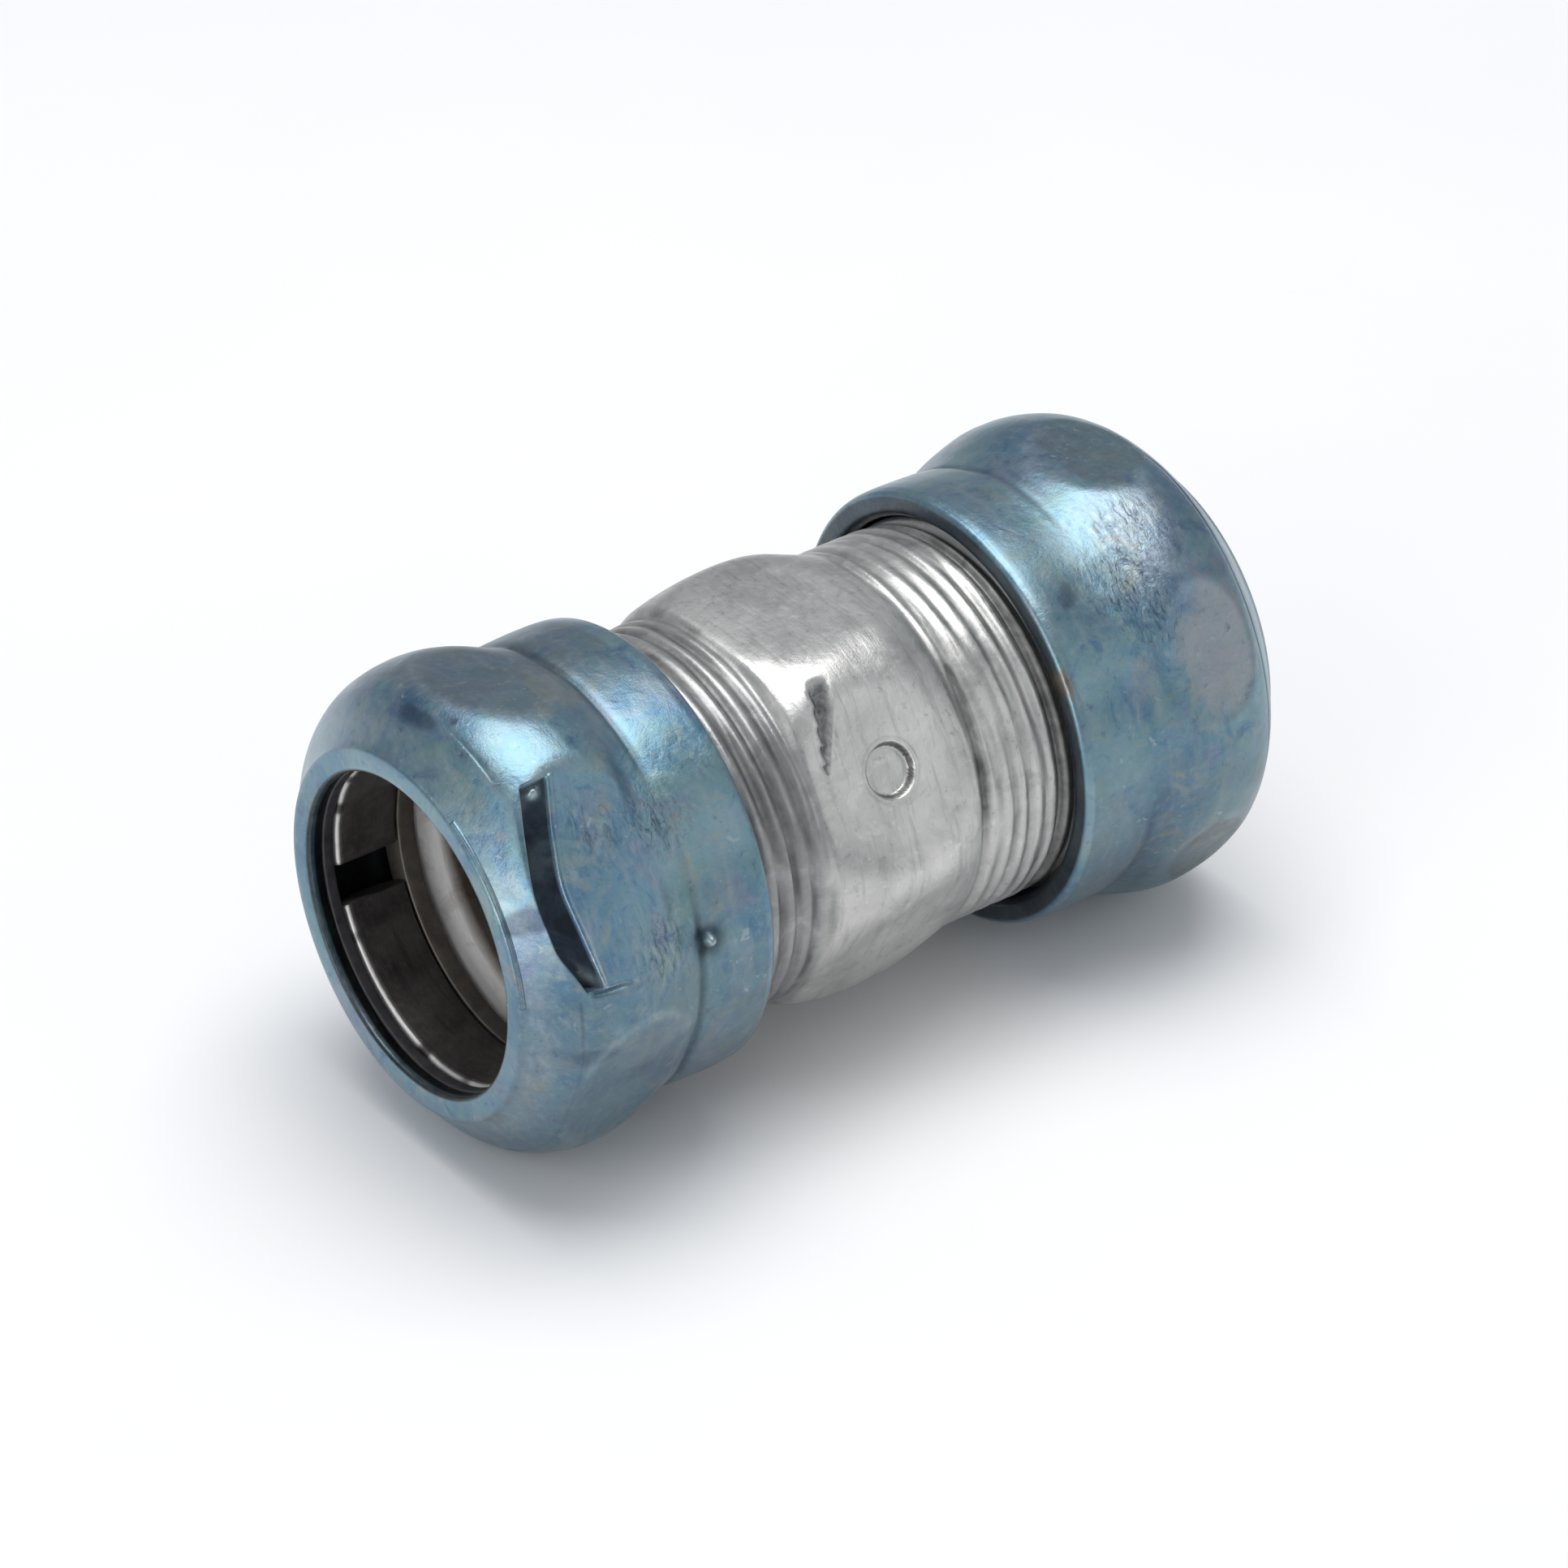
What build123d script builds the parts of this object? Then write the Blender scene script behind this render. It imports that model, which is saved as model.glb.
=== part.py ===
from build123d import *
import os
from math import sin, cos, radians

# Two-ended compression coupling for thin-wall steel tube, trade size 1/2 inch.
# Frame: X is the tube axis, +Z is up, the origin is the middle of the assembly's box, on the tube axis.
# Every piece is drawn where it sits in the assembly. "xi" is the distance inwards from a nut's outer face.

# ---------------------------------------------------------------- driving dimensions (mm)
TUBE_R = 8.965            # outside radius of the tube that the coupling takes (0.706 in diameter)
HALF_LENGTH = 25.65       # outer face of either nut from the middle

# thread, 24 turns per inch, right-hand on both ends, all on one common helix
PITCH = 1.0583
MALE_ROOT_R = 10.58
MALE_CREST_R = 11.08
FEMALE_ROOT_R = 11.22
FEMALE_CREST_R = 10.72
HELIX_X0 = -60 * PITCH / 2.0   # any male crest crosses +Z at HELIX_X0 + n * PITCH

# barrel
BODY_X = -0.45            # middle of the barrel: the two nuts are screwed on by different amounts
BODY_HALF = 18.0
BORE_R = 9.1
RELIEF_R = 9.6            # the tube is swelled out under the hexagon, between the two sockets
RELIEF_HALF = 3.5
MOUTH_R = 9.95
MOUTH_DEPTH = 1.8
HEX_HALF = 6.4            # half length of the hexagonal middle
HEX_APOTHEM = 11.1
HEX_BULGE_R = 12.15
THREAD_RUNOUT = 6.9       # from the barrel's middle to where the thread stops
DIMPLE_R = 1.5
DIMPLE_DEPTH = 0.6
STOP_TIP_R = 8.2          # radius at which the tube stops end, inside the bore
DIMPLE_ANGLES = (-60.0, 120.0)   # about X from up, positive towards +Y

# gland nut
NUT_LEN = 15.05
LIP_R = 9.2
LIP_LEN = 0.9
SEAT_R = 10.45            # seat behind the lip
CONE_END_XI = 3.2
FLAT_START_XI = 1.4
# each pressed flat's apothem near the dome (xi 3) and at the crease: they were not all pressed equally deep
LEFT_FLATS = ((13.5, 12.62), (12.9, 12.6), (12.45, 12.58), (13.5, 12.62), (12.9, 12.6), (12.45, 12.58))
RIGHT_FLATS = ((13.4, 13.3),) * 6
DEEP_FLAT = 5             # the left nut's flat with a sharp step at its front
STEP_XI = (1.75, 3.25)
STEP_DEPTH = 0.4
STEP_HALF_WIDTH = 5.3
CREASE_XI = 10.2
COLLAR_R = 12.75
NUT_THREAD_START_XI = 7.7
NUT_THREAD_END_XI = 14.1
LEFT_NUT_PHASE = 6.0      # how far the nut's upper flat is turned from straight up, towards +Y
RIGHT_NUT_PHASE = -2.0

# ring set inside each nut
SEAL_XI = (0.96, 1.68)
SEAL_R = (9.15, 10.3)
SPLIT_XI = (1.75, 5.75)
SPLIT_R = (9.15, 10.75)
SPLIT_BEVEL = 0.55
SPLIT_GAP = 2.3
SPLIT_GAP_ANGLE = 105.0
WASHER_XI = (5.85, 7.0)
WASHER_R = (9.2, 10.9)

os.makedirs("parts", exist_ok=True)


def radial(angle):
    """Unit direction across the axis, `angle` degrees from up towards +Y."""
    return (0.0, sin(radians(angle)), cos(radians(angle)))


def helix_start(low_x):
    """First X at or above low_x where a male crest crosses +Z."""
    x = HELIX_X0
    while x < low_x:
        x += PITCH
    return x


def ridge(low_x, turns, base_r, tip_r, base_half, tip_half):
    """One thread ridge on the common helix, as its own solid."""
    with BuildPart() as rib:
        with BuildLine() as path:
            coil = Helix(PITCH, turns * PITCH, base_r, center=(low_x, 0, 0), direction=(1, 0, 0))
        start = coil @ 0
        out = Vector(0, start.Y, start.Z).normalized()
        h = tip_r - base_r
        with BuildSketch(Plane(origin=start, x_dir=out, z_dir=coil % 0)):
            with BuildLine():
                Polyline((0, -base_half), (h, -tip_half), (h, tip_half), (0, base_half), close=True)
            make_face()
        sweep(path=path.line, is_frenet=True)
    return rib.part


# ---------------------------------------------------------------- barrel
def hex_middle():
    """Hexagonal middle, its corners barrelled off towards both threads."""
    with BuildPart() as middle:
        with BuildSketch(Plane.YZ.offset(BODY_X - HEX_HALF)):
            RegularPolygon(HEX_APOTHEM, 6, major_radius=False)
        extrude(amount=2 * HEX_HALF)
        with BuildSketch(Plane.XY):
            with BuildLine():
                l1 = ThreePointArc((BODY_X - HEX_HALF, 10.75), (BODY_X, HEX_BULGE_R), (BODY_X + HEX_HALF, 10.75))
                Polyline(l1 @ 1, (BODY_X + HEX_HALF, 0), (BODY_X - HEX_HALF, 0), l1 @ 0)
            make_face()
        revolve(axis=Axis.X, mode=Mode.INTERSECT)
    return middle.part


def barrel():
    x0, x1 = BODY_X - BODY_HALF, BODY_X + BODY_HALF
    start_left = helix_start(x0 - 1.5)
    left_rib = ridge(start_left, (BODY_X - THREAD_RUNOUT + 0.3 - start_left) / PITCH,
                     MALE_ROOT_R - 0.1, MALE_CREST_R, 0.41, 0.09)
    start_right = helix_start(BODY_X + THREAD_RUNOUT - 0.3)
    right_rib = ridge(start_right, (x1 + 1.5 - start_right) / PITCH,
                      MALE_ROOT_R - 0.1, MALE_CREST_R, 0.41, 0.09)
    with BuildPart() as body:
        # plain tube with a raised middle band
        with BuildSketch(Plane.XY):
            with BuildLine():
                Polyline((x0 - 3, 0), (x0 - 3, MALE_ROOT_R), (BODY_X - THREAD_RUNOUT, MALE_ROOT_R),
                         (BODY_X - THREAD_RUNOUT + 0.6, MALE_CREST_R - 0.05),
                         (BODY_X + THREAD_RUNOUT - 0.6, MALE_CREST_R - 0.05),
                         (BODY_X + THREAD_RUNOUT, MALE_ROOT_R), (x1 + 3, MALE_ROOT_R), (x1 + 3, 0), close=True)
            make_face()
        revolve(axis=Axis.X)
        add(left_rib)
        add(right_rib)
        add(hex_middle())
        # trim the ends and bevel the first thread
        with BuildSketch(Plane.XY):
            with BuildLine():
                Polyline((x0, 0), (x0, 10.2), (x0 + 1.0, 11.2), (x0 + 1.0, 13.0), (x1 - 1.0, 13.0),
                         (x1 - 1.0, 11.2), (x1, 10.2), (x1, 0), close=True)
            make_face()
        revolve(axis=Axis.X, mode=Mode.INTERSECT)
        # bore with its conical mouths
        with BuildSketch(Plane.XY):
            with BuildLine():
                Polyline((x0 - 1, 0), (x0 - 1, MOUTH_R), (x0, MOUTH_R), (x0 + MOUTH_DEPTH, BORE_R),
                         (BODY_X - RELIEF_HALF, BORE_R), (BODY_X - RELIEF_HALF + 0.8, RELIEF_R),
                         (BODY_X + RELIEF_HALF - 0.8, RELIEF_R), (BODY_X + RELIEF_HALF, BORE_R),
                         (x1 - MOUTH_DEPTH, BORE_R), (x1, MOUTH_R), (x1 + 1, MOUTH_R), (x1 + 1, 0), close=True)
            make_face()
        revolve(axis=Axis.X, mode=Mode.SUBTRACT)
        # pressed stops: a blind dimple outside, a blunt cone inside
        for angle in DIMPLE_ANGLES:
            n = Vector(*radial(angle))
            tip = Plane(origin=Vector(BODY_X, 0, 0) + n * STOP_TIP_R, x_dir=(1, 0, 0), z_dir=n)
            with BuildSketch(tip):
                Circle(1.35)
            extrude(amount=1.9, taper=-26)
        for angle in DIMPLE_ANGLES:
            n = Vector(*radial(angle))
            floor = Plane(origin=Vector(BODY_X, 0, 0) + n * (HEX_APOTHEM - DIMPLE_DEPTH), x_dir=(1, 0, 0), z_dir=n)
            with BuildSketch(floor):
                Circle(DIMPLE_R - 0.2)
            extrude(amount=3, taper=-8, mode=Mode.SUBTRACT)
    return body.part


# ---------------------------------------------------------------- gland nut
def gland_nut(side, phase, flats, deep=None):
    """side is -1 for the nut at -X, +1 for the nut at +X."""
    def at(xi, r):
        return (side * (HALF_LENGTH - xi), r)

    ends = sorted(side * (HALF_LENGTH - xi) for xi in (NUT_THREAD_START_XI, NUT_THREAD_END_XI))
    first = helix_start(ends[0]) - PITCH / 2
    if first < ends[0]:
        first += PITCH
    turns = (ends[1] - first) / PITCH
    rib = ridge(first, turns, FEMALE_ROOT_R + 0.1, FEMALE_CREST_R, 0.41, 0.1)
    with BuildPart() as nut:
        # drawn shell: domed front, round collar
        with BuildSketch(Plane.XY):
            with BuildLine():
                front = ThreePointArc(at(0.12, 10.75), at(1.9, 12.8), at(5.6, 13.94))
                back = ThreePointArc(front @ 1, at(8.0, 13.66), at(CREASE_XI, COLLAR_R))
                rim = ThreePointArc(at(NUT_LEN - 0.5, COLLAR_R), at(NUT_LEN - 0.14, COLLAR_R - 0.15), at(NUT_LEN, COLLAR_R - 0.5))
                Line(back @ 1, rim @ 0)
                Polyline(rim @ 1, at(NUT_LEN, FEMALE_ROOT_R + 0.3), at(NUT_LEN - 0.5, FEMALE_ROOT_R),
                         at(CONE_END_XI, FEMALE_ROOT_R), at(LIP_LEN, SEAT_R), at(LIP_LEN, LIP_R), at(0.35, LIP_R))
                ThreePointArc(at(0.35, LIP_R), at(0.1, LIP_R + 0.1), at(0, LIP_R + 0.35))
                Polyline(at(0, LIP_R + 0.35), at(0, 10.45), front @ 0)
            make_face()
        revolve(axis=Axis.X)
        # six pressed flats, each a plane that leans in towards the collar
        for k, (front_a, rear_a) in enumerate(flats):
            angle = phase + 60 * k
            section = Plane(origin=(0, 0, 0), x_dir=(1, 0, 0), z_dir=(0, -cos(radians(angle)), sin(radians(angle))))
            lean = (rear_a - front_a) / (CREASE_XI - 3.0)
            with BuildSketch(section):
                with BuildLine():
                    Polyline(at(FLAT_START_XI, front_a + lean * (FLAT_START_XI - 3.0)), at(CREASE_XI, rear_a),
                             at(CREASE_XI, 16), at(FLAT_START_XI, 16), close=True)
                make_face()
            extrude(amount=8, both=True, mode=Mode.SUBTRACT)
            if k == deep:
                with BuildSketch(section):
                    with BuildLine():
                        Polyline(at(STEP_XI[0], front_a), at(STEP_XI[0] + 0.15, front_a - STEP_DEPTH),
                                 at(STEP_XI[1] - 0.15, front_a - STEP_DEPTH), at(STEP_XI[1], front_a),
                                 at(STEP_XI[1], 16), at(STEP_XI[0], 16), close=True)
                    make_face()
                extrude(amount=STEP_HALF_WIDTH, both=True, mode=Mode.SUBTRACT)
        add(rib)
    return nut.part


# ---------------------------------------------------------------- rings inside a nut
def tube_seal(side):
    with BuildPart() as seal:
        with BuildSketch(Plane.XY):
            with BuildLine():
                Polyline([(side * (HALF_LENGTH - xi), r) for xi, r in (
                    (SEAL_XI[0], SEAL_R[0]), (SEAL_XI[0], SEAL_R[1]), (SEAL_XI[1], SEAL_R[1] + 0.15),
                    (SEAL_XI[1], SEAL_R[0]))], close=True)
            make_face()
        revolve(axis=Axis.X)
    return seal.part


def split_ring(side):
    with BuildPart() as ring:
        a, b = SPLIT_XI
        lo, hi = SPLIT_R
        with BuildSketch(Plane.XY):
            with BuildLine():
                Polyline([(side * (HALF_LENGTH - xi), r) for xi, r in (
                    (a, lo), (a, hi - SPLIT_BEVEL), (a + 1.3, hi), (b - 1.0, hi), (b, hi - SPLIT_BEVEL), (b, lo))],
                    close=True)
            make_face()
        revolve(axis=Axis.X)
        # the gap that lets the ring close on the tube
        n = Vector(*radial(side * -SPLIT_GAP_ANGLE))
        x_mid = side * (HALF_LENGTH - (a + b) / 2)
        with BuildSketch(Plane(origin=(x_mid, 0, 0), x_dir=(1, 0, 0), z_dir=n)):
            Rectangle(b - a + 2, SPLIT_GAP)
        extrude(amount=14, mode=Mode.SUBTRACT)
    return ring.part


def end_washer(side):
    a, b = WASHER_XI
    x = sorted((side * (HALF_LENGTH - a), side * (HALF_LENGTH - b)))
    with BuildPart() as washer:
        with BuildSketch(Plane.YZ.offset(x[0])):
            Circle(WASHER_R[1])
            Circle(WASHER_R[0], mode=Mode.SUBTRACT)
        extrude(amount=x[1] - x[0])
        chamfer(washer.edges().filter_by(GeomType.CIRCLE).sort_by(SortBy.RADIUS)[-2:], 0.15)
    return washer.part


# ---------------------------------------------------------------- the nine pieces
with BuildPart() as coupling_body:
    add(barrel())
with BuildPart() as left_gland_nut:
    add(gland_nut(-1, LEFT_NUT_PHASE, LEFT_FLATS, DEEP_FLAT))
with BuildPart() as right_gland_nut:
    add(gland_nut(1, RIGHT_NUT_PHASE, RIGHT_FLATS))
with BuildPart() as left_tube_seal:
    add(tube_seal(-1))
with BuildPart() as right_tube_seal:
    add(tube_seal(1))
with BuildPart() as left_split_ring:
    add(split_ring(-1))
with BuildPart() as right_split_ring:
    add(split_ring(1))
with BuildPart() as left_end_washer:
    add(end_washer(-1))
with BuildPart() as right_end_washer:
    add(end_washer(1))

coupling_body.part.label = "coupling_body"
export_step(coupling_body.part, "parts/coupling_body.step")
left_gland_nut.part.label = "left_gland_nut"
export_step(left_gland_nut.part, "parts/left_gland_nut.step")
right_gland_nut.part.label = "right_gland_nut"
export_step(right_gland_nut.part, "parts/right_gland_nut.step")
left_tube_seal.part.label = "left_tube_seal"
export_step(left_tube_seal.part, "parts/left_tube_seal.step")
right_tube_seal.part.label = "right_tube_seal"
export_step(right_tube_seal.part, "parts/right_tube_seal.step")
left_split_ring.part.label = "left_split_ring"
export_step(left_split_ring.part, "parts/left_split_ring.step")
right_split_ring.part.label = "right_split_ring"
export_step(right_split_ring.part, "parts/right_split_ring.step")
left_end_washer.part.label = "left_end_washer"
export_step(left_end_washer.part, "parts/left_end_washer.step")
right_end_washer.part.label = "right_end_washer"
export_step(right_end_washer.part, "parts/right_end_washer.step")
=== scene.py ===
import math

import bpy
import numpy as np
from mathutils import Matrix, Vector


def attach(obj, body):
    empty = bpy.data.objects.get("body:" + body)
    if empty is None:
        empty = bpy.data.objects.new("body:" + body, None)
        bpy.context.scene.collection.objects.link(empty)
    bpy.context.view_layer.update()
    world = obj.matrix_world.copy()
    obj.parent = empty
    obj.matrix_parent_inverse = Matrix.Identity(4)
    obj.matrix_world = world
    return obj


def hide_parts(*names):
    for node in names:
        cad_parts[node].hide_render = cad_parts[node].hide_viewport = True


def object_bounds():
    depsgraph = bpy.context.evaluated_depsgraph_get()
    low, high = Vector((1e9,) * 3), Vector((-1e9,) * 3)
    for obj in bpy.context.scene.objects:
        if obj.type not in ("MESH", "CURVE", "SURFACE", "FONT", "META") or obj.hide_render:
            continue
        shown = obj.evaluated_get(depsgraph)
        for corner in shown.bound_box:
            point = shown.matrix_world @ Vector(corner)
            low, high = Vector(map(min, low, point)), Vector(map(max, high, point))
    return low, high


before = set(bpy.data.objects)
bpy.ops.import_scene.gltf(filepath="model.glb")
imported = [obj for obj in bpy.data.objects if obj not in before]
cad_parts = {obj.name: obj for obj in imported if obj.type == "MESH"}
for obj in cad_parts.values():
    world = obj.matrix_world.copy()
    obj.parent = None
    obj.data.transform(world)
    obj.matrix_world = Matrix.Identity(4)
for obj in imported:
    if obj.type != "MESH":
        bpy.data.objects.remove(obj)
cad_lo, cad_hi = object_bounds()

MM = 0.001

# ------------------------------------------------------------------ dimensions (mm), as in the CAD frame
HALF = 25.65          # outer face of either nut
BODY_X = -0.45        # middle of the barrel
BODY_HALF = 18.0
PITCH = 1.0583
BORE = 9.1
ROOT, CREST = 10.58, 11.06
F_ROOT, F_CREST = 11.22, 10.76
NUT_LEN = 15.05
LEFT_PHASE, RIGHT_PHASE = 6.0, -2.0
RIDGE_X0 = -30 * PITCH     # a male crest crosses +Z at RIDGE_X0 + n * PITCH


# ------------------------------------------------------------------ small maths
def smoothstep(a, b, x):
    t = np.clip((x - a) / (b - a), 0.0, 1.0)
    return t * t * (3 - 2 * t)


def smin(a, b, k):
    h = np.clip(0.5 + 0.5 * (b - a) / k, 0.0, 1.0)
    return b * (1 - h) + a * h - k * h * (1 - h)


def curve(points, x):
    """Smooth monotone curve through (x, y) points."""
    p = np.array(points, float)
    xs, ys = p[:, 0], p[:, 1]
    h = np.diff(xs)
    s = np.diff(ys) / h
    m = np.zeros(len(xs))
    m[0], m[-1] = s[0], s[-1]
    for i in range(1, len(xs) - 1):
        if s[i - 1] * s[i] > 0:
            w1, w2 = 2 * h[i] + h[i - 1], h[i] + 2 * h[i - 1]
            m[i] = (w1 + w2) / (w1 / s[i - 1] + w2 / s[i])
    x = np.clip(x, xs[0], xs[-1])
    i = np.clip(np.searchsorted(xs, x) - 1, 0, len(xs) - 2)
    t = (x - xs[i]) / h[i]
    return ((2 * t**3 - 3 * t**2 + 1) * ys[i] + (t**3 - 2 * t**2 + t) * h[i] * m[i]
            + (-2 * t**3 + 3 * t**2) * ys[i + 1] + (t**3 - t**2) * h[i] * m[i + 1])


def value_noise(p, seed=0):
    """Smooth 3-D value noise in about -1..1 at the points p."""
    p = np.asarray(p, float)
    i = np.floor(p).astype(np.int64)
    f = p - i
    f = f * f * (3 - 2 * f)

    def h(ix, iy, iz):
        n = (ix * 374761393 + iy * 668265263 + iz * 2147483647 + seed * 144665) & 0xFFFFFFFF
        n = ((n ^ (n >> 13)) * 1274126177) & 0xFFFFFFFF
        n = ((n ^ (n >> 16)) * 2246822519) & 0xFFFFFFFF
        return ((n ^ (n >> 15)) & 0xFFFF) / 32767.5 - 1.0

    out = 0
    for dx in (0, 1):
        for dy in (0, 1):
            for dz in (0, 1):
                w = (f[..., 0] if dx else 1 - f[..., 0]) * (f[..., 1] if dy else 1 - f[..., 1]) * (f[..., 2] if dz else 1 - f[..., 2])
                out = out + w * h(i[..., 0] + dx, i[..., 1] + dy, i[..., 2] + dz)
    return out


def path(points, step, corner=None):
    """Points along a polyline at about the given step, corners kept."""
    out = [points[0]]
    for a, b in zip(points[:-1], points[1:]):
        n = max(1, int(round(math.dist(a, b) / step)))
        for k in range(1, n + 1):
            out.append((a[0] + (b[0] - a[0]) * k / n, a[1] + (b[1] - a[1]) * k / n))
    return out


def arc(cx, cy, r, a0, a1, n):
    return [(cx + r * math.cos(math.radians(a0 + (a1 - a0) * k / n)), cy + r * math.sin(math.radians(a0 + (a1 - a0) * k / n)))
            for k in range(n + 1)]


# ------------------------------------------------------------------ mesh making
def angles(step, *dense):
    """Column angles round a closed ring: a coarse step, finer within each (centre, half width, step)."""
    out, a = [], -180.0
    while a < 180.0 - 0.3 * step:
        out.append(a)
        s = step
        for centre, half, fine in dense:
            s = min(s, fine + 0.25 * max(0.0, abs((a - centre + 180) % 360 - 180) - half))
        a += s
    return np.array(out)


def lathe(name, loop, columns, shape, span=None, flip=False):
    """A closed ring: the section loop [(x, r)] swept round X; shape(x, r, alpha) moves each vertex and
    returns x, r and a dict of attributes. alpha is in degrees from +Z towards +Y. span = (start, end) leaves a gap."""
    loop = np.array(loop, float)
    m = len(loop)
    closed = span is None
    if isinstance(columns, np.ndarray):
        a = columns
        columns = len(a)
    else:
        a = np.linspace(0, 360, columns, endpoint=False) if closed else np.linspace(span[0], span[1], columns)
    X = np.repeat(loop[:, 0][None, :], columns, 0)
    R = np.repeat(loop[:, 1][None, :], columns, 0)
    A = np.repeat(a[:, None], m, 1)
    IDX = np.repeat(np.arange(m)[None, :], columns, 0)
    X, R, attrs = shape(X, R, A, IDX)
    rad = np.radians(A)
    verts = np.stack([X, R * np.sin(rad), R * np.cos(rad)], -1).reshape(-1, 3) * MM
    n = columns if closed else columns - 1
    i = np.arange(n)[:, None]
    j = np.arange(m)[None, :]
    i2, j2 = (i + 1) % columns, (j + 1) % m
    quads = np.stack([i * m + j, i * m + j2, i2 * m + j2, i2 * m + j], -1).reshape(-1, 4)
    if flip:
        quads = quads[:, ::-1]
    mesh = bpy.data.meshes.new(name)
    faces = quads.tolist()
    if not closed:
        cap0 = list(range(m))
        cap1 = [(columns - 1) * m + k for k in range(m)]
        faces.append(cap0 if flip else cap0[::-1])
        faces.append(cap1[::-1] if flip else cap1)
    mesh.from_pydata(verts.tolist(), [], faces)
    mesh.update()
    for key, val in attrs.items():
        at = mesh.attributes.new(key, "FLOAT", "POINT")
        at.data.foreach_set("value", np.ascontiguousarray(np.broadcast_to(val, X.shape), dtype=np.float32).reshape(-1))
    mesh.polygons.foreach_set("use_smooth", [True] * len(mesh.polygons))
    if not closed:
        for p in mesh.polygons[-2:]:
            p.use_smooth = False
    obj = bpy.data.objects.new(name, mesh)
    bpy.context.scene.collection.objects.link(obj)
    return obj


def ridge_wave(x, a_deg, half_base, half_tip):
    """1 on a male crest, 0 in its groove, on the common right-hand helix."""
    u = (x - RIDGE_X0 + PITCH * a_deg / 360.0) / PITCH
    u = np.abs(u - np.round(u)) * PITCH
    return 1 - smoothstep(half_tip, half_base, u)


def hexfold(a):
    k = np.round(a / 60.0)
    return a - 60 * k, np.mod(k, 6).astype(int)


# ------------------------------------------------------------------ gland nut
DOME = [(0.0, 10.55), (0.25, 10.72), (0.6, 11.12), (1.2, 11.9), (1.7, 12.5), (2.25, 13.0), (3.0, 13.42), (3.8, 13.7), (4.7, 13.88),
        (5.6, 13.94), (6.5, 13.88), (7.5, 13.66), (8.4, 13.36), (9.2, 13.02), (9.85, 12.78), (10.4, 12.62), (11.2, 12.45), (12.4, 12.3)]
COLLAR = [(9.2, 11.9), (9.7, 12.15), (10.2, 12.48), (10.6, 12.68), (11.0, 12.75), (11.6, 12.78), (12.6, 12.82), (13.6, 12.83), (14.5, 12.79)]
GROOVE_L = [(-26, 2.75), (-22.5, 2.4), (-12.7, 1.68), (-1.6, 1.58), (14, 2.25), (26, 3.2)]
GROOVE_R = [(-26, 3.55), (-24.3, 3.5), (-13.7, 3.35), (-1.8, 3.2), (12, 3.75), (24, 4.65), (26, 4.8)]
EASY = [(5.6, 13.9), (6.6, 13.82), (7.6, 13.6), (8.6, 13.32), (9.6, 13.07), (10.6, 12.91), (11.6, 12.83), (12.8, 12.8), (14.5, 12.79)]
BAND_LO, BAND_HI = 2.2, 3.5     # rows of the section that are carried to the two edges of the groove


def outer_radius(xi):
    """Round part of a nut's outside: dome, then a soft valley, then the collar."""
    dome = curve(DOME, xi)
    collar = np.where(xi > 9.2, curve(COLLAR, xi), 0.0)
    return np.where(xi > 9.2, -smin(-dome, -collar, 0.16), dome)


def nut_section():
    """Section loop in (xi, r), and how many of its points are on the outside."""
    outer = [(0.34, 9.2), (0.22, 9.21), (0.12, 9.25), (0.05, 9.33), (0.015, 9.44), (0.0, 9.6)]
    outer += [(0.0, 9.75), (0.0, 9.95), (0.0, 10.15), (0.004, 10.35)]
    rows = list(np.linspace(0.03, 0.6, 7)) + list(np.arange(0.75, 1.9, 0.16)) + [1.9, 2.02, 2.1, 2.16, 2.2, 2.24, 2.3, 2.38, 2.5, 2.65]
    rows += [2.8, 2.95, 3.1, 3.22, 3.32, 3.4, 3.46, 3.5, 3.54, 3.6, 3.68, 3.8] + list(np.arange(3.95, 9.3, 0.17)) + list(np.arange(9.4, 11.3, 0.12))
    rows += list(np.arange(11.4, 14.5, 0.28))
    for xi in rows:
        outer.append((float(xi), float(outer_radius(np.array(xi)))))
    outer += [(14.55, 12.79), (14.7, 12.78), (14.83, 12.74), (14.93, 12.67), (15.0, 12.57), (15.04, 12.44), (15.05, 12.3), (15.05, 12.1), (15.05, 11.9), (15.04, 11.72),
              (14.98, 11.58), (14.86, 11.46), (14.7, 11.35), (14.5, 11.25)]
    n_out = len(outer)
    inner = [(xi, F_ROOT) for xi in np.linspace(14.4, 7.5, 66)]
    inner += [(7.2, F_ROOT), (5.5, F_ROOT), (3.4, F_ROOT), (3.0, 11.15), (2.0, 10.86), (1.1, 10.53), (0.95, 10.45), (0.9, 10.35), (0.9, 9.8), (0.9, 9.35),
              (0.88, 9.25), (0.82, 9.21), (0.7, 9.2), (0.5, 9.2)]
    return outer + inner, n_out


def spot(xi, A, at_xi, at_a, size_xi, size_deg):
    """Round patch on a nut, 1 in the middle."""
    da = (A - at_a + 180) % 360 - 180
    return np.exp(-((xi - at_xi) / size_xi) ** 2 - (da / size_deg) ** 2)


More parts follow.
